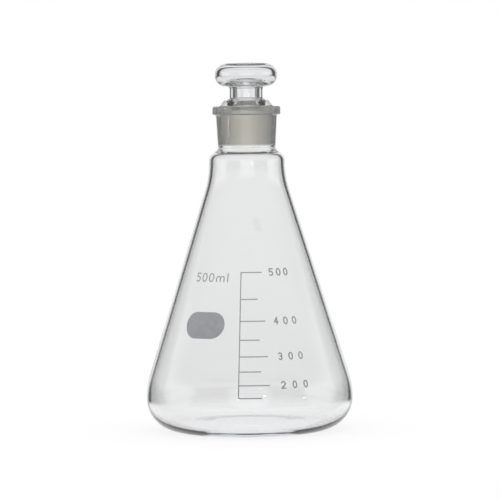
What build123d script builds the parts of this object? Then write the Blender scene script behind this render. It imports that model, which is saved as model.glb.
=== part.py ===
from build123d import *
import math
import os

# A 500 ml conical flask of blown glass with a ground glass stopper, in millimetres.
# It stands on z = 0 with its axis on +Z, and the printed scale faces -Y.

# Flask body, outside, from the base up
body_radius = 53.35
heel_radius = 17.0
side_upright = 0.75
side_reach = 5.6
flare_reach = 7.4
shoulder_upright = 0.3
shoulder_round = 5.6
shoulder_width = 4.77
shoulder_rise = 2.3
neck_foot_height = 144.9
neck_foot_round = 2.4
neck_foot_wall = 1.93
neck_top_wall = 2.11
rim_width = 1.86
rim_thickness = 4.4
rim_round = 0.9
rim_fillet = 0.9

# Flask body, base and inside
push_up = 0.7
push_up_slope = 10.0
foot_width = 6.6
base_blend = 6.0
glass_wall = 1.8
floor_thickness = 2.2
mouth_radius = 13.9
mouth_round = 0.5
clear_neck = 2.3
ground_length = 20.2
ground_taper = 0.05

# Stopper, outside, from the plug up
ground_clearance = 0.04
plug_short = 0.7
plug_proud = 0.2
plug_round = 0.5
collar_round = 0.8
collar_ledge = 2.83
collar_rise = 2.9
collar_shoulder_round = 2.5
stem_radius = 8.6
stem_foot_rise = 1.0
stem_foot_round = 0.6
stem_length = 5.7
stem_top_round = 0.8
head_radius = 16.13
head_thickness = 12.6
head_upright = 0.443
head_underside_rise = 1.35
head_flat_radius = 6.0
head_fall = 0.6
head_dome_round = 40.0

# Stopper, inside: it is blown hollow and open at the bottom of the plug
plug_wall = 2.6
stem_wall = 3.1
head_wall = 2.2
collar_wall = 2.8
cavity_round = 2.0

# Fired print: a scale with ticks, its numbers, the capacity and a spot to write on
print_thickness = 0.12
print_clear = 2.0
top_mark_height = 83.25
top_mark = 500
mark_step = 50
mark_spread = 1.0231
mark_count = 8
line_width = 0.55
scale_azimuth = -6.0
long_tick_end = 11.3
short_tick_end = 6.7
number_azimuth = 19.0
number_pitch = 6.85
number_height = 3.9
number_width = 2.6
number_pen = 0.68
capacity_height = 80.7
capacity_azimuth = -45.0
capacity_pitch = 6.75
capacity_letter_height = 4.5
capacity_letter_width = 3.1
capacity_pen = 0.55
unit_azimuth = -23.3
unit_width = 4.6
unit_height = 3.1
unit_end_azimuth = -16.9
spot_azimuth = -31.8
spot_height = 56.9
spot_width = 22.4
spot_tall = 13.2
spot_round = 6.55

# Heights that follow from the sizes above, and the socket's radius at each
ground_foot_height = neck_foot_height + clear_neck
rim_height = ground_foot_height + ground_length
rim_underside = rim_height - rim_thickness
floor_height = push_up + floor_thickness


def socket_radius(height):
    # The ground socket narrows downwards from the mouth
    return mouth_radius - (rim_height - height) * ground_taper


def plug_radius(height):
    return socket_radius(height) - ground_clearance


# Radii that follow, from the socket outwards and from the side inwards
bore_radius = socket_radius(ground_foot_height)
neck_radius = bore_radius + neck_foot_wall
neck_top_radius = socket_radius(rim_underside) + neck_top_wall
rim_radius = neck_top_radius + rim_width
shoulder_radius = neck_radius + shoulder_width
foot_radius = body_radius - heel_radius - foot_width
push_up_radius = foot_radius - push_up_slope
inner_heel_radius = heel_radius - floor_height

# The cone between its two bends, whose roundings fill the reach that each is given
shoulder_height = neck_foot_height - shoulder_rise
shoulder_pitch = math.atan2(shoulder_rise, shoulder_width)
shoulder_reach = shoulder_round * math.tan((math.pi / 2 - shoulder_pitch) / 2)
cone_height = shoulder_height - shoulder_reach - shoulder_upright - flare_reach
side_height = heel_radius + side_upright + side_reach
cone_angle = math.atan2(body_radius - shoulder_radius, cone_height - side_height)
side_radius = side_reach / math.tan(cone_angle / 2)
flare_radius = flare_reach / math.tan(cone_angle / 2)

# The stopper's heights and its collar
plug_top = rim_height + plug_proud
plug_foot = ground_foot_height + plug_short
collar_radius = stem_radius + collar_ledge
stem_foot = plug_top + collar_rise + stem_foot_rise
stem_top = stem_foot + stem_length
head_top = stem_top + head_thickness


def half_section(corners):
    # A closed half section from corners (radius, height, rounding), both ends on the axis
    points = [(radius, height) for radius, height, rounding in corners]
    roundings = [rounding for radius, height, rounding in corners]
    outline = FilletPolyline(*points, radius=roundings[1:-1])
    axis_side = Line(points[-1], points[0])
    return Plane.XZ * make_face(Curve() + [outline, axis_side])


def turned(corners):
    return revolve(half_section(corners), Axis.Z)


def body_outside(grow=0.0):
    # Corners of the outer wall from the side to the shoulder, moved outwards by grow
    side_shift = grow * math.tan(cone_angle / 2)
    shoulder_shift = grow * math.tan((math.pi / 2 - shoulder_pitch) / 2)
    return [
        (body_radius + grow, side_height + side_shift, side_radius + grow),
        (shoulder_radius + grow, cone_height + side_shift, flare_radius - grow),
        (shoulder_radius + grow, shoulder_height + shoulder_shift, shoulder_round + grow),
    ]


def make_flask_body():
    base = [
        (0, push_up, 0),
        (push_up_radius, push_up, base_blend),
        (foot_radius, 0, base_blend),
        (body_radius, 0, heel_radius),
    ]
    neck = [
        (neck_radius, neck_foot_height, neck_foot_round),
        (neck_top_radius, rim_underside, rim_fillet),
        (rim_radius, rim_underside, rim_round),
        (rim_radius, rim_height, rim_round),
        (mouth_radius, rim_height, mouth_round),
        (bore_radius, ground_foot_height, 0),
    ]
    # The shoulder's inside runs parallel to its outside and meets the bore below the ground zone
    inner_shoulder, inner_flare, inner_side = reversed(body_outside(-glass_wall))
    bore_foot = inner_shoulder[1] + (inner_shoulder[0] - bore_radius) * math.tan(shoulder_pitch)
    inside = [
        (bore_radius, bore_foot, neck_foot_round),
        inner_shoulder,
        inner_flare,
        inner_side,
        (body_radius - glass_wall, floor_height, inner_heel_radius),
        (0, floor_height, 0),
    ]
    return turned(base + body_outside() + neck + inside)


def disc_rounding(inner_foot, rim_foot, rim_top, flat):
    # One rounding for both edges of a disc, from (radius, height) corners, but for a short upright
    foot_slope = math.atan2(rim_foot[1] - inner_foot[1], rim_foot[0] - inner_foot[0])
    top_slope = math.atan2(flat[1] - rim_top[1], rim_top[0] - flat[0])
    foot_share = math.tan((math.pi / 2 - foot_slope) / 2)
    top_share = math.tan((math.pi / 2 - top_slope) / 2)
    return (rim_top[1] - rim_foot[1] - head_upright) / (foot_share + top_share)


def make_stopper():
    head_foot = stem_top + head_underside_rise
    head_edge = head_top - head_fall
    head_round = disc_rounding(
        (stem_radius, stem_top), (head_radius, head_foot), (head_radius, head_edge), (head_flat_radius, head_top)
    )
    outside = [
        (0, head_top, 0),
        (head_flat_radius, head_top, head_dome_round),
        (head_radius, head_edge, head_round),
        (head_radius, head_foot, head_round),
        (stem_radius, stem_top, stem_top_round),
        (stem_radius, stem_foot, stem_foot_round),
        (collar_radius, plug_top + collar_rise, collar_shoulder_round),
        (plug_radius(plug_top), plug_top, collar_round),
        (plug_radius(plug_foot), plug_foot, plug_round),
    ]
    stem_bore = stem_radius - stem_wall
    cavity_radius = head_radius - head_wall
    cavity_foot = stem_top + head_wall
    cavity_top = head_top - head_wall
    cavity_low = (cavity_radius, cavity_foot + head_underside_rise)
    cavity_high = (cavity_radius, cavity_top - head_fall)
    head_cavity_round = disc_rounding(
        (stem_bore, cavity_foot), cavity_low, cavity_high, (head_flat_radius, cavity_top)
    )
    inside = [
        (plug_radius(plug_foot) - plug_wall, plug_foot, plug_round),
        (plug_radius(plug_top) - plug_wall, plug_top - collar_wall, cavity_round),
        (stem_bore, stem_foot - collar_wall / 2, cavity_round),
        (stem_bore, cavity_foot, cavity_round / 2),
        (*cavity_low, head_cavity_round),
        (*cavity_high, head_cavity_round),
        (head_flat_radius, cavity_top, head_dome_round),
        (0, cavity_top, 0),
    ]
    return turned(outside + inside)


def inner_radius(height):
    # Inside radius of the flask below its shoulder, at a height above the floor
    radius = body_radius - glass_wall
    heel = inner_heel_radius
    depth_in_heel = floor_height + heel - height
    if depth_in_heel > 0:
        return radius - heel + math.sqrt(max(heel**2 - depth_in_heel**2, 0))
    side = side_radius - glass_wall
    side_start = side_height - side_reach
    side_end = side_start + side * math.sin(cone_angle)
    if height < side_start:
        return radius
    if height < side_end:
        return radius - side + math.sqrt(side**2 - (height - side_start) ** 2)
    end_radius = radius - side * (1 - math.cos(cone_angle))
    return end_radius - (height - side_end) * math.tan(cone_angle)


def contents(height):
    # What the flask holds up to a height, summed from thin discs
    discs = 200
    step = (height - floor_height) / discs
    middles = [floor_height + (disc + 0.5) * step for disc in range(discs)]
    return sum(math.pi * inner_radius(middle) ** 2 * step for middle in middles)


def mark_height(volume):
    # The level of a mark: the printed scale is spaced a little wider than the volumes below its top mark
    below_top = 1 - volume / top_mark
    wanted = contents(top_mark_height) * (1 - below_top * mark_spread)
    low = floor_height
    high = top_mark_height
    for halving in range(24):
        middle = (low + high) / 2
        if contents(middle) < wanted:
            low = middle
        else:
            high = middle
    return (low + high) / 2


def print_skin():
    # A thin skin all over the side and cone, from which the print is cut
    def shell_side(grow):
        foot = heel_radius - print_clear
        return [
            (0, foot, 0),
            (body_radius + grow, foot, 0),
            *body_outside(grow)[:2],
            (shoulder_radius + grow, neck_foot_height, 0),
            (0, neck_foot_height, 0),
        ]

    return turned(shell_side(print_thickness)) - turned(shell_side(0.0))


def facing(azimuth, height):
    # A plane on the axis at a height, looking out at an azimuth from the front, +X to the right
    angle = math.radians(azimuth)
    outwards = (math.sin(angle), -math.cos(angle), 0)
    rightwards = (math.cos(angle), math.sin(angle), 0)
    return Plane(origin=(0, 0, height), x_dir=rightwards, z_dir=outwards)


def stamped(skin, shape, azimuth, height):
    # A flat shape printed onto the skin at an azimuth and height
    block = extrude(facing(azimuth, height) * shape, amount=body_radius * 1.5)
    return skin & block


def make_graduation_scale(skin):
    heights = [mark_height(top_mark - mark_step * index) for index in range(mark_count)]
    line_height = heights[0] - heights[-1] + line_width
    line = Rectangle(line_width, line_height)
    printed = stamped(skin, line, scale_azimuth, (heights[0] + heights[-1]) / 2)
    for index, height in enumerate(heights):
        tick_end = short_tick_end if index % 2 else long_tick_end
        half_angle = math.radians(tick_end - scale_azimuth) / 2
        width = 2 * (inner_radius(height) + glass_wall / math.cos(cone_angle)) * math.sin(half_angle)
        middle_azimuth = (tick_end + scale_azimuth) / 2
        printed += stamped(skin, Rectangle(width, line_width), middle_azimuth, height)
    return printed


def pen_strokes(strokes, pen):
    # Flat shape of a pen drawn along lines and arcs, with round ends
    shape = Sketch()
    for stroke in strokes:
        shape += trace(stroke, pen)
        for tip in (stroke @ 0, stroke @ 1):
            shape += Pos(tip.X, tip.Y) * Circle(pen / 2)
    return shape


def figure(digit, width, height, pen):
    # One figure, centred, with its strokes inside width and height
    across = (width - pen) / 2
    up = (height - pen) / 2
    if digit == "0":
        ring = Ellipse(across + pen / 2, up + pen / 2)
        return ring - Ellipse(across - pen / 2, up - pen / 2)
    if digit == "2":
        bend = CenterArc((0, up - across), across, -35, 195)
        strokes = [bend, Line(bend @ 0, (-across, -up)), Line((-across, -up), (across, -up))]
    if digit == "3":
        strokes = [CenterArc((0, up / 2), up / 2, -90, 235), CenterArc((0, -up / 2), up / 2, 90, -235)]
    if digit == "4":
        upright = across * 0.35
        bar = -up * 0.35
        strokes = [
            Line((upright, -up), (upright, up)),
            Line((upright, up), (-across, bar)),
            Line((-across, bar), (across, bar)),
        ]
    if digit == "5":
        bowl = up * 0.6
        bend = CenterArc((0, bowl - up), bowl, 130, -265)
        corner = (-across * 0.7, up)
        strokes = [Line((across, up), corner), Line(corner, bend @ 0), bend]
    return pen_strokes(strokes, pen)


def make_scale_numbers(skin):
    printed = []
    for volume in range(top_mark, top_mark - mark_step * mark_count, -2 * mark_step):
        for place, digit in enumerate(str(volume)):
            shape = figure(digit, number_width, number_height, number_pen)
            azimuth = number_azimuth + number_pitch * place
            printed += stamped(skin, shape, azimuth, mark_height(volume)).solids()
    return Compound(printed)


def make_capacity_mark(skin):
    printed = []
    for place, digit in enumerate(str(top_mark)):
        shape = figure(digit, capacity_letter_width, capacity_letter_height, capacity_pen)
        azimuth = capacity_azimuth + capacity_pitch * place
        printed += stamped(skin, shape, azimuth, capacity_height).solids()
    # The unit stands on the figures' base line: three stems joined by two arches, then one tall stem
    base = (capacity_pen - capacity_letter_height) / 2
    arch = (unit_width - capacity_pen) / 4
    spring = base + unit_height - capacity_pen - arch
    strokes = [Line((side * 2 * arch, base), (side * 2 * arch, spring)) for side in (-1, 0, 1)]
    strokes += [CenterArc((side * arch, spring), arch, 0, 180) for side in (-1, 1)]
    shape = pen_strokes(strokes, capacity_pen)
    printed += stamped(skin, shape, unit_azimuth, capacity_height).solids()
    tall_stem = Rectangle(capacity_pen, capacity_letter_height)
    printed += stamped(skin, tall_stem, unit_end_azimuth, capacity_height).solids()
    return Compound(printed)


def make_marking_spot(skin):
    return stamped(skin, RectangleRounded(spot_width, spot_tall, spot_round), spot_azimuth, spot_height)


skin = print_skin()
parts = {
    "flask_body": make_flask_body(),
    "stopper": make_stopper(),
    "graduation_scale": make_graduation_scale(skin),
    "scale_numbers": make_scale_numbers(skin),
    "capacity_mark": make_capacity_mark(skin),
    "marking_spot": make_marking_spot(skin),
}

os.makedirs("parts", exist_ok=True)
for name, shape in parts.items():
    export_step(shape, f"parts/{name}.step")
    print(name, "solids", len(shape.solids()), "volume", round(shape.volume, 2))
print("contents to the top mark", round(contents(top_mark_height) / 1000, 1), "ml")
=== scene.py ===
import math

import bpy
import bmesh
from mathutils import Matrix


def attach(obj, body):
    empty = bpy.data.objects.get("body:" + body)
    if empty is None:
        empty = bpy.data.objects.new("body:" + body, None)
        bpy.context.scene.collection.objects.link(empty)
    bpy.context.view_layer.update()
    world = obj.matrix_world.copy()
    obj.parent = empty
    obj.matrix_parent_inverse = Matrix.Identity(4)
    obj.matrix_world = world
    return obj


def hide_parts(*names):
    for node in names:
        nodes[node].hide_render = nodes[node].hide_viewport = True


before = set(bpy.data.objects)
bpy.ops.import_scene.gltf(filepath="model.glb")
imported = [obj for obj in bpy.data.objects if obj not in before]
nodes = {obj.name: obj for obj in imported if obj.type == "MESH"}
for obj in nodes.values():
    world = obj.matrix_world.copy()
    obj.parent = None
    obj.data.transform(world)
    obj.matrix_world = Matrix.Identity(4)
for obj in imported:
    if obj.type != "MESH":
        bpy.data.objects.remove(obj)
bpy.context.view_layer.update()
mm = 0.001
scene = bpy.context.scene
print("frame loaded, nodes:", len(nodes))


# Camera, where the photographer stood
photoView = {
    "distance": 1.300,
    "height": 0.150,
    "tiltDown": 2.507,
    "turnRight": 0.046,
    "roll": -0.68,
    "lens": 180.9,
    "sensor": 36.0,
}


def makeCamera(settings):
    data = bpy.data.cameras.new("photoCamera")
    data.lens = settings["lens"]
    data.sensor_width = settings["sensor"]
    camera = bpy.data.objects.new("photoCamera", data)
    scene.collection.objects.link(camera)
    place = Matrix.Translation((0, -settings["distance"], settings["height"]))
    turn = Matrix.Rotation(-math.radians(settings["turnRight"]), 4, "Z")
    tilt = Matrix.Rotation(math.radians(90 - settings["tiltDown"]), 4, "X")
    roll = Matrix.Rotation(math.radians(settings["roll"]), 4, "Z")
    camera.matrix_world = place @ turn @ tilt @ roll
    scene.camera = camera


makeCamera(photoView)
print("camera placed")


# Profiles: corners of (radius, height, rounding) in millimetres, turned into glass
turning = {
    "steps": 256,
    "arcStep": 3.0,  # degrees of bend between two points of a rounding
    "longestRun": 4.0,  # millimetres
    "leastTurn": 1e-5,  # radians of bend below which a corner counts as straight
    "weld": 0.002,  # millimetres
}


def roundedCorner(before, corner, after):
    # Points of the arc that rounds a corner, or the corner itself
    x, y, rounding = corner
    wayIn = math.atan2(y - before[1], x - before[0])
    wayOut = math.atan2(after[1] - y, after[0] - x)
    turn = math.remainder(wayOut - wayIn, 2 * math.pi)
    if rounding == 0 or abs(turn) < turning["leastTurn"]:
        return [(x, y)]
    reach = rounding * math.tan(abs(turn) / 2)
    side = math.copysign(rounding, turn)
    centreX = x - reach * math.cos(wayIn) - side * math.sin(wayIn)
    centreY = y - reach * math.sin(wayIn) + side * math.cos(wayIn)
    steps = max(2, math.ceil(math.degrees(abs(turn)) / turning["arcStep"]))
    angles = [wayIn + turn * step / steps for step in range(steps + 1)]
    return [(centreX + side * math.sin(angle), centreY - side * math.cos(angle)) for angle in angles]


def profileOf(corners):
    # The whole outline, with long straights divided so that the shading stays even
    outline = [corners[0][:2]]
    for before, corner, after in zip(corners, corners[1:], corners[2:]):
        outline += roundedCorner(before, corner, after)
    outline.append(corners[-1][:2])
    points = [outline[0]]
    for start, end in zip(outline, outline[1:]):
        cuts = max(1, math.ceil(math.dist(start, end) / turning["longestRun"]))
        for cut in range(1, cuts + 1):
            share = cut / cuts
            points.append((start[0] + (end[0] - start[0]) * share, start[1] + (end[1] - start[1]) * share))
    return points


def turnGlass(name, corners, material):
    shape = bmesh.new()
    chain = [shape.verts.new((0, -radius * mm, height * mm)) for radius, height in profileOf(corners)]
    for start, end in zip(chain, chain[1:]):
        shape.edges.new((start, end))
    bmesh.ops.spin(
        shape,
        geom=shape.verts[:] + shape.edges[:],
        cent=(0, 0, 0),
        axis=(0, 0, 1),
        angle=2 * math.pi,
        steps=turning["steps"],
        use_merge=True,
    )
    bmesh.ops.remove_doubles(shape, verts=shape.verts[:], dist=turning["weld"] * mm)
    bmesh.ops.recalc_face_normals(shape, faces=shape.faces[:])
    for face in shape.faces:
        face.smooth = True
    mesh = bpy.data.meshes.new(name)
    shape.to_mesh(mesh)
    shape.free()
    mesh.materials.append(material)
    piece = bpy.data.objects.new(name, mesh)
    scene.collection.objects.link(piece)
    return piece


# Glass: clear all over, and ground matt between two heights and two radii
def newMaterial(name):
    material = bpy.data.materials.new(name)
    material.use_nodes = True
    tree = material.node_tree
    shader = tree.nodes["Principled BSDF"]
    return material, tree, shader


def addNode(tree, kind, **values):
    node = tree.nodes.new(kind)
    for key, value in values.items():
        setattr(node, key, value)
    return node


def addMath(tree, operation, first, second):
    node = addNode(tree, "ShaderNodeMath", operation=operation)
    for socket, value in zip(node.inputs, (first, second)):
        if isinstance(value, (int, float)):
            socket.default_value = value
        else:
            tree.links.new(value, socket)
    return node.outputs[0]


def stepUp(tree, value, start, end):
    # 0 below start, 1 above end, or the other way round where end is lower
    node = addNode(tree, "ShaderNodeMapRange", interpolation_type="SMOOTHSTEP")
    tree.links.new(value, node.inputs["Value"])
    node.inputs["From Min"].default_value = start
    node.inputs["From Max"].default_value = end
    return node.outputs["Result"]


def makeGlass(name, look):
    material, tree, shader = newMaterial(name)
    link = tree.links.new
    shader.inputs["Transmission Weight"].default_value = 1.0
    shader.inputs["IOR"].default_value = look["ior"]
    place = addNode(tree, "ShaderNodeTexCoord").outputs["Object"]
    axes = addNode(tree, "ShaderNodeSeparateXYZ")
    link(place, axes.inputs[0])
    flat = addNode(tree, "ShaderNodeVectorMath", operation="MULTIPLY")
    link(place, flat.inputs[0])
    flat.inputs[1].default_value = (1, 1, 0)
    length = addNode(tree, "ShaderNodeVectorMath", operation="LENGTH")
    link(flat.outputs[0], length.inputs[0])
    radius = length.outputs["Value"]
    ground = look["ground"]
    edge = look["groundEdge"]
    low = stepUp(tree, axes.outputs["Z"], ground["foot"] - edge, ground["foot"])
    high = stepUp(tree, axes.outputs["Z"], ground["top"] + edge, ground["top"])
    outer = stepUp(tree, radius, ground["outside"] + edge, ground["outside"])
    inner = stepUp(tree, radius, ground["inside"] - edge, ground["inside"])
    heights = addMath(tree, "MULTIPLY", low, high)
    radii = addMath(tree, "MULTIPLY", outer, inner)
    band = addMath(tree, "MULTIPLY", heights, radii)
    tint = addNode(tree, "ShaderNodeMixRGB")
    link(band, tint.inputs["Fac"])
    tint.inputs["Color1"].default_value = look["colour"]
    tint.inputs["Color2"].default_value = look["groundTint"]
    link(tint.outputs[0], shader.inputs["Base Color"])
    # The grinding is a little uneven
    grain = addNode(tree, "ShaderNodeTexNoise")
    link(place, grain.inputs["Vector"])
    grain.inputs["Scale"].default_value = look["grainScale"]
    grain.inputs["Detail"].default_value = look["grainDetail"]
    spread = addNode(tree, "ShaderNodeMapRange")
    link(grain.outputs[0], spread.inputs["Value"])
    spread.inputs["To Min"].default_value = look["groundRoughness"][0]
    spread.inputs["To Max"].default_value = look["groundRoughness"][1]
    link(addMath(tree, "MULTIPLY", band, spread.outputs[0]), shader.inputs["Roughness"])
    # Blown glass is never quite even
    waves = addNode(tree, "ShaderNodeTexNoise")
    link(place, waves.inputs["Vector"])
    waves.inputs["Scale"].default_value = look["waveScale"]
    waves.inputs["Detail"].default_value = look["waveDetail"]
    bump = addNode(tree, "ShaderNodeBump")
    bump.inputs["Strength"].default_value = 1.0
    bump.inputs["Distance"].default_value = look["waveHeight"]
    link(waves.outputs[0], bump.inputs["Height"])
    link(bump.outputs[0], shader.inputs["Normal"])
    absorption = addNode(tree, "ShaderNodeVolumeAbsorption")
    absorption.inputs["Color"].default_value = look["absorbColour"]
    absorption.inputs["Density"].default_value = look["absorbDensity"]
    link(absorption.outputs[0], tree.nodes["Material Output"].inputs["Volume"])
    return material


# Flask body, with the same outline as the solid model
flaskBody = {
    "bodyRadius": 53.35,
    "heelRadius": 17.0,
    "sideUpright": 0.75,
    "sideReach": 5.6,
    "flareReach": 7.4,
    "shoulderUpright": 0.3,
    "shoulderRound": 5.6,
    "shoulderWidth": 4.77,
    "shoulderRise": 2.3,
    "neckFoot": 144.9,
    "neckFootRound": 2.4,
    "neckFootWall": 1.93,
    "neckTopWall": 2.11,
    "rimWidth": 1.86,
    "rimThickness": 4.4,
    "rimRound": 0.9,
    "rimFillet": 0.9,
    "pushUp": 0.7,
    "pushUpSlope": 10.0,
    "footWidth": 6.6,
    "baseBlend": 6.0,
    "wall": 1.8,
    "floor": 2.2,
    "mouthRadius": 13.9,
    "mouthRound": 0.5,
    "clearNeck": 2.3,
    "groundLength": 20.2,
    "groundTaper": 0.05,
}
flaskGlass = {
    "colour": (1, 1, 1, 1),
    "ior": 1.47,
    "absorbColour": (0.70, 0.72, 0.76, 1),
    "absorbDensity": 45.0,
    "groundTint": (1.0, 0.985, 0.915, 1),
    "waveScale": 28.0,
    "waveDetail": 1.0,
    "waveHeight": 0.00006,
    "grainScale": 900.0,
    "grainDetail": 4.0,
    "groundRoughness": (0.45, 0.62),
    "groundEdge": 0.0002,  # metres over which the matt zone fades out
    "ground": {"foot": 0.1472, "top": 0.1676, "inside": 0.0125, "outside": 0.0142},
}

groundFoot = flaskBody["neckFoot"] + flaskBody["clearNeck"]
rimTop = groundFoot + flaskBody["groundLength"]


def socketRadius(height):
    return flaskBody["mouthRadius"] - (rimTop - height) * flaskBody["groundTaper"]


def flaskCorners(f):
    rimFoot = rimTop - f["rimThickness"]
    boreRadius = socketRadius(groundFoot)
    neckRadius = boreRadius + f["neckFootWall"]
    neckTopRadius = socketRadius(rimFoot) + f["neckTopWall"]
    rimRadius = neckTopRadius + f["rimWidth"]
    shoulderRadius = neckRadius + f["shoulderWidth"]
    shoulderHeight = f["neckFoot"] - f["shoulderRise"]
    pitch = math.atan2(f["shoulderRise"], f["shoulderWidth"])
    shoulderLean = math.tan((math.pi / 2 - pitch) / 2)
    coneTop = shoulderHeight - f["shoulderRound"] * shoulderLean - f["shoulderUpright"] - f["flareReach"]
    coneFoot = f["heelRadius"] + f["sideUpright"] + f["sideReach"]
    coneLean = math.tan(math.atan2(f["bodyRadius"] - shoulderRadius, coneTop - coneFoot) / 2)
    footRadius = f["bodyRadius"] - f["heelRadius"] - f["footWidth"]
    floorTop = f["pushUp"] + f["floor"]

    def wallSide(grow):
        return [
            (f["bodyRadius"] + grow, coneFoot + grow * coneLean, f["sideReach"] / coneLean + grow),
            (shoulderRadius + grow, coneTop + grow * coneLean, f["flareReach"] / coneLean - grow),
            (shoulderRadius + grow, shoulderHeight + grow * shoulderLean, f["shoulderRound"] + grow),
        ]

    inside = wallSide(-f["wall"])[::-1]
    boreFoot = inside[0][1] + (inside[0][0] - boreRadius) * math.tan(pitch)
    return [
        (0, f["pushUp"], 0),
        (footRadius - f["pushUpSlope"], f["pushUp"], f["baseBlend"]),
        (footRadius, 0, f["baseBlend"]),
        (f["bodyRadius"], 0, f["heelRadius"]),
        *wallSide(0),
        (neckRadius, f["neckFoot"], f["neckFootRound"]),
        (neckTopRadius, rimFoot, f["rimFillet"]),
        (rimRadius, rimFoot, f["rimRound"]),
        (rimRadius, rimTop, f["rimRound"]),
        (f["mouthRadius"], rimTop, f["mouthRound"]),
        (boreRadius, groundFoot, 0),
        (boreRadius, boreFoot, f["neckFootRound"]),
        *inside,
        (f["bodyRadius"] - f["wall"], floorTop, f["heelRadius"] - floorTop),
        (0, floorTop, 0),
    ]


flaskMaterial = makeGlass("clearFlaskGlass", flaskGlass)
flaskPiece = turnGlass("flask_body_glass", flaskCorners(flaskBody), flaskMaterial)
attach(flaskPiece, "flask")
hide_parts("flask_body")
print("flask body turned:", len(flaskPiece.data.polygons), "faces")


# Stopper: ground plug, collar, stem and flat head, blown hollow
stopper = {
    "groundClearance": 0.04,
    "plugShort": 0.7,
    "plugProud": 0.2,
    "plugRound": 0.5,
    "collarRound": 0.8,
    "collarLedge": 2.83,
    "collarRise": 2.9,
    "collarShoulderRound": 2.5,
    "stemRadius": 8.6,
    "stemFootRise": 1.0,
    "stemFootRound": 0.6,
    "stemLength": 5.7,
    "stemTopRound": 0.8,
    "headRadius": 16.13,
    "headThickness": 12.6,
    "headUpright": 0.443,
    "undersideRise": 1.35,
    "flatRadius": 6.0,
    "headFall": 0.6,
    "domeRound": 40.0,
    "plugWall": 2.6,
    "stemWall": 3.1,
    "headWall": 2.2,
    "collarWall": 2.8,
    "cavityRound": 2.0,
}
stopperGlass = dict(
    flaskGlass,
    waveScale=60.0,
    waveHeight=0.00004,
    ground={"foot": 0.1477, "top": 0.1674, "inside": 0.0120, "outside": 0.0145},
)


def stopperCorners(s):
    def plugRadius(height):
        return socketRadius(height) - s["groundClearance"]

    def discRound(innerFoot, rimFoot, rimHigh, flatTop):
        footSlope = math.atan2(rimFoot[1] - innerFoot[1], rimFoot[0] - innerFoot[0])
        topSlope = math.atan2(flatTop[1] - rimHigh[1], rimHigh[0] - flatTop[0])
        shares = math.tan((math.pi / 2 - footSlope) / 2) + math.tan((math.pi / 2 - topSlope) / 2)
        return (rimHigh[1] - rimFoot[1] - s["headUpright"]) / shares

    plugTop = rimTop + s["plugProud"]
    plugFoot = groundFoot + s["plugShort"]
    collarRadius = s["stemRadius"] + s["collarLedge"]
    stemFoot = plugTop + s["collarRise"] + s["stemFootRise"]
    stemTop = stemFoot + s["stemLength"]
    headTop = stemTop + s["headThickness"]
    stemOut = (s["stemRadius"], stemTop)
    lowOut = (s["headRadius"], stemTop + s["undersideRise"])
    highOut = (s["headRadius"], headTop - s["headFall"])
    flatOut = (s["flatRadius"], headTop)
    outRound = discRound(stemOut, lowOut, highOut, flatOut)
    stemIn = (s["stemRadius"] - s["stemWall"], stemTop + s["headWall"])
    lowIn = (s["headRadius"] - s["headWall"], stemIn[1] + s["undersideRise"])
    flatIn = (s["flatRadius"], headTop - s["headWall"])
    highIn = (lowIn[0], flatIn[1] - s["headFall"])
    inRound = discRound(stemIn, lowIn, highIn, flatIn)
    return [
        (0, headTop, 0),
        (*flatOut, s["domeRound"]),
        (*highOut, outRound),
        (*lowOut, outRound),
        (*stemOut, s["stemTopRound"]),
        (s["stemRadius"], stemFoot, s["stemFootRound"]),
        (collarRadius, plugTop + s["collarRise"], s["collarShoulderRound"]),
        (plugRadius(plugTop), plugTop, s["collarRound"]),
        (plugRadius(plugFoot), plugFoot, s["plugRound"]),
        (plugRadius(plugFoot) - s["plugWall"], plugFoot, s["plugRound"]),
        (plugRadius(plugTop) - s["plugWall"], plugTop - s["collarWall"], s["cavityRound"]),
        (stemIn[0], stemFoot - s["collarWall"] / 2, s["cavityRound"]),
        (*stemIn, s["cavityRound"] / 2),
        (*lowIn, inRound),
        (*highIn, inRound),
        (*flatIn, s["domeRound"]),
        (0, flatIn[1], 0),
    ]


stopperMaterial = makeGlass("clearStopperGlass", stopperGlass)
stopperPiece = turnGlass("stopper_glass", stopperCorners(stopper), stopperMaterial)
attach(stopperPiece, "stopper")
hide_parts("stopper")
print("stopper turned:", len(stopperPiece.data.polygons), "faces")


# Fired print, matt enamel with a slightly uneven coat
enamelLook = {
    "dark": (0.305, 0.315, 0.33, 1),
    "pale": (0.35, 0.36, 0.375, 1),
    "blotchScale": 260.0,
    "blotchDetail": 5.0,
    "blotchEdges": (0.35, 0.65),
    "roughness": 0.62,
    "grainScale": 2600.0,
    "grainHeight": 0.00001,
}


def makeEnamel(look):
    material, tree, shader = newMaterial("firedEnamel")
    link = tree.links.new
    place = addNode(tree, "ShaderNodeTexCoord").outputs["Object"]
    blotches = addNode(tree, "ShaderNodeTexNoise")
    link(place, blotches.inputs["Vector"])
    blotches.inputs["Scale"].default_value = look["blotchScale"]
    blotches.inputs["Detail"].default_value = look["blotchDetail"]
    colours = addNode(tree, "ShaderNodeValToRGB")
    tones = (look["dark"], look["pale"])
    for stop, edge, colour in zip(colours.color_ramp.elements, look["blotchEdges"], tones):
        stop.position = edge
        stop.color = colour
    link(blotches.outputs[0], colours.inputs[0])
    link(colours.outputs[0], shader.inputs["Base Color"])
    shader.inputs["Roughness"].default_value = look["roughness"]
    grain = addNode(tree, "ShaderNodeTexNoise")
    link(place, grain.inputs["Vector"])
    grain.inputs["Scale"].default_value = look["grainScale"]
    bump = addNode(tree, "ShaderNodeBump")
    bump.inputs["Distance"].default_value = look["grainHeight"]
    link(grain.outputs[0], bump.inputs["Height"])
    link(bump.outputs[0], shader.inputs["Normal"])
    return material


enamel = makeEnamel(enamelLook)
for printed in ("graduation_scale", "scale_numbers", "capacity_mark", "marking_spot"):
    for place in nodes[printed].material_slots:
        place.material = enamel
print("enamel on the print")


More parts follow.
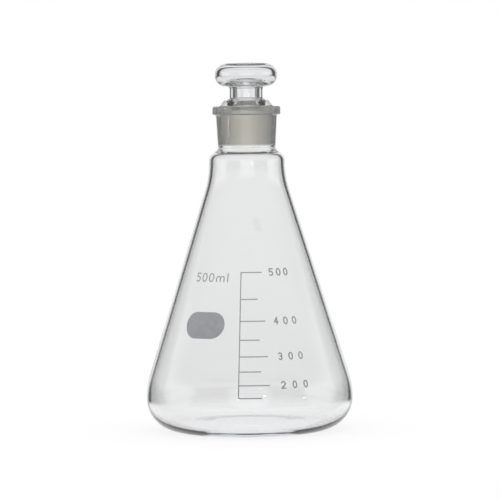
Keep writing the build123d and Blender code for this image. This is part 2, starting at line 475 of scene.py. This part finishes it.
# Floor: a pale round that fades out, and keeps the flask's soft shadow
floorLook = {
    "radius": 0.20,
    "sides": 96,
    "fadeFrom": 0.07,
    "fadeTo": 0.17,
    "colour": (0.15, 0.15, 0.15, 1),
    "lift": 0.86,
    "throughGlass": 0.80,
    "drop": 0.00005,
}


def makeFloor(look):
    shape = bmesh.new()
    bmesh.ops.create_circle(shape, cap_ends=True, segments=look["sides"], radius=look["radius"])
    bmesh.ops.translate(shape, verts=shape.verts[:], vec=(0, 0, -look["drop"]))
    mesh = bpy.data.meshes.new("paleFloor")
    shape.to_mesh(mesh)
    shape.free()
    material, tree, shader = newMaterial("paleFloor")
    link = tree.links.new
    shader.inputs["Base Color"].default_value = look["colour"]
    shader.inputs["Roughness"].default_value = 1.0
    shader.inputs["Specular IOR Level"].default_value = 0.0
    shader.inputs["Emission Color"].default_value = (1, 1, 1, 1)
    rays = addNode(tree, "ShaderNodeLightPath")
    seen = addMath(tree, "ADD", rays.outputs["Is Camera Ray"], rays.outputs["Is Glossy Ray"])
    throughGlass = addMath(tree, "MULTIPLY", rays.outputs["Is Transmission Ray"], look["throughGlass"])
    seen = addMath(tree, "ADD", seen, throughGlass)
    seen = addMath(tree, "MINIMUM", seen, 1.0)
    link(addMath(tree, "MULTIPLY", seen, look["lift"]), shader.inputs["Emission Strength"])
    place = addNode(tree, "ShaderNodeTexCoord").outputs["Object"]
    length = addNode(tree, "ShaderNodeVectorMath", operation="LENGTH")
    link(place, length.inputs[0])
    fade = stepUp(tree, length.outputs["Value"], look["fadeTo"], look["fadeFrom"])
    link(fade, shader.inputs["Alpha"])
    mesh.materials.append(material)
    floor = bpy.data.objects.new("paleFloor", mesh)
    scene.collection.objects.link(floor)


makeFloor(floorLook)
print("floor laid")


# World: white studio, where glass also sees dark cards that stand between the four white walls
worldLook = {
    "ambient": 1.0,
    "throughGlass": (0.80, 0.91),  # the walls' brightness in glass, low down and higher up
    "throughGlassAt": (-0.17, -0.02),
    "dark": 0.08,
    "cardCount": 4,
    "cardEdge": (-0.37, 0.31),
    "cardLean": 3.6,
    "cardFoot": (-0.139, -0.225),
    "overhead": (0.37, 0.21),
    "tallWall": (0.35, 0.60),  # the wall behind reaches higher than the others
}


def makeWorld(look):
    world = bpy.data.worlds.new("paleStudio")
    world.use_nodes = True
    scene.world = world
    tree = world.node_tree
    link = tree.links.new
    background = tree.nodes["Background"]
    direction = addNode(tree, "ShaderNodeTexCoord").outputs["Generated"]
    axes = addNode(tree, "ShaderNodeSeparateXYZ")
    link(direction, axes.inputs[0])
    azimuth = addMath(tree, "ARCTAN2", axes.outputs["X"], axes.outputs["Y"])
    wave = addMath(tree, "COSINE", addMath(tree, "MULTIPLY", azimuth, look["cardCount"]), 0.0)
    below = addMath(tree, "MINIMUM", axes.outputs["Z"], 0.0)
    leaning = addMath(tree, "ADD", wave, addMath(tree, "MULTIPLY", below, look["cardLean"]))
    walls = stepUp(tree, leaning, *look["cardEdge"])
    belowCards = stepUp(tree, axes.outputs["Z"], *look["cardFoot"])
    overhead = stepUp(tree, axes.outputs["Z"], *look["overhead"])
    tallWall = stepUp(tree, axes.outputs["Y"], *look["tallWall"])
    height = addMath(tree, "MAXIMUM", overhead, tallWall)
    lit = addMath(tree, "MULTIPLY", addMath(tree, "MAXIMUM", walls, belowCards), height)
    tone = addNode(tree, "ShaderNodeMapRange")
    link(axes.outputs["Z"], tone.inputs["Value"])
    tone.inputs["From Min"].default_value = look["throughGlassAt"][0]
    tone.inputs["From Max"].default_value = look["throughGlassAt"][1]
    tone.inputs["To Min"].default_value = look["throughGlass"][0]
    tone.inputs["To Max"].default_value = look["throughGlass"][1]
    spread = addNode(tree, "ShaderNodeMapRange")
    link(lit, spread.inputs["Value"])
    spread.inputs["To Min"].default_value = look["dark"]
    link(tone.outputs[0], spread.inputs["To Max"])
    rays = addNode(tree, "ShaderNodeLightPath")
    throughGlass = addMath(tree, "ADD", rays.outputs["Is Glossy Ray"], rays.outputs["Is Transmission Ray"])
    throughGlass = addMath(tree, "MINIMUM", throughGlass, 1.0)
    plain = addMath(tree, "MULTIPLY", addMath(tree, "SUBTRACT", 1.0, throughGlass), look["ambient"])
    patterned = addMath(tree, "MULTIPLY", throughGlass, spread.outputs[0])
    background.inputs["Color"].default_value = (1, 1, 1, 1)
    link(addMath(tree, "ADD", plain, patterned), background.inputs["Strength"])


makeWorld(worldLook)
print("world painted")


# A wide soft box high on the right, and small lamps that give the heel and shoulder their points of light
softBox = {
    "azimuth": 13.4,
    "elevation": 36.2,
    "distance": 1.2,
    "width": 0.20,
    "height": 0.07,
    "power": 0.09,
    "aimHeight": 0.09,
}
smallLamp = {"distance": 1.2, "width": 0.02, "height": 0.03, "power": 0.03, "aimHeight": 0.02}
smallLamps = [
    dict(smallLamp, azimuth=16.0, elevation=8.0, height=0.06, power=0.05, aimHeight=0.03),
    dict(smallLamp, azimuth=-12.7, elevation=3.0),
    dict(smallLamp, azimuth=-72.0, elevation=1.5),
    dict(smallLamp, azimuth=62.6, elevation=1.5),
]


def makeSoftBox(name, box):
    data = bpy.data.lights.new(name, "AREA")
    data.shape = "RECTANGLE"
    data.size = box["width"]
    data.size_y = box["height"]
    data.energy = box["power"]
    lamp = bpy.data.objects.new(name, data)
    scene.collection.objects.link(lamp)
    around = Matrix.Rotation(math.radians(box["azimuth"]), 4, "Z")
    up = Matrix.Rotation(math.radians(90 - box["elevation"]), 4, "X")
    aim = Matrix.Translation((0, 0, box["aimHeight"]))
    lamp.matrix_world = aim @ around @ up @ Matrix.Translation((0, 0, box["distance"]))


makeSoftBox("softBoxRight", softBox)
for number, lamp in enumerate(smallLamps, 1):
    makeSoftBox(f"smallLamp{number}", lamp)
print("lights set")


# Light has to get through many walls of glass
bounces = {"all": 32, "transmission": 32, "glossy": 12, "transparent": 16}
scene.view_settings.view_transform = "Standard"
scene.cycles.max_bounces = bounces["all"]
scene.cycles.transmission_bounces = bounces["transmission"]
scene.cycles.glossy_bounces = bounces["glossy"]
scene.cycles.transparent_max_bounces = bounces["transparent"]
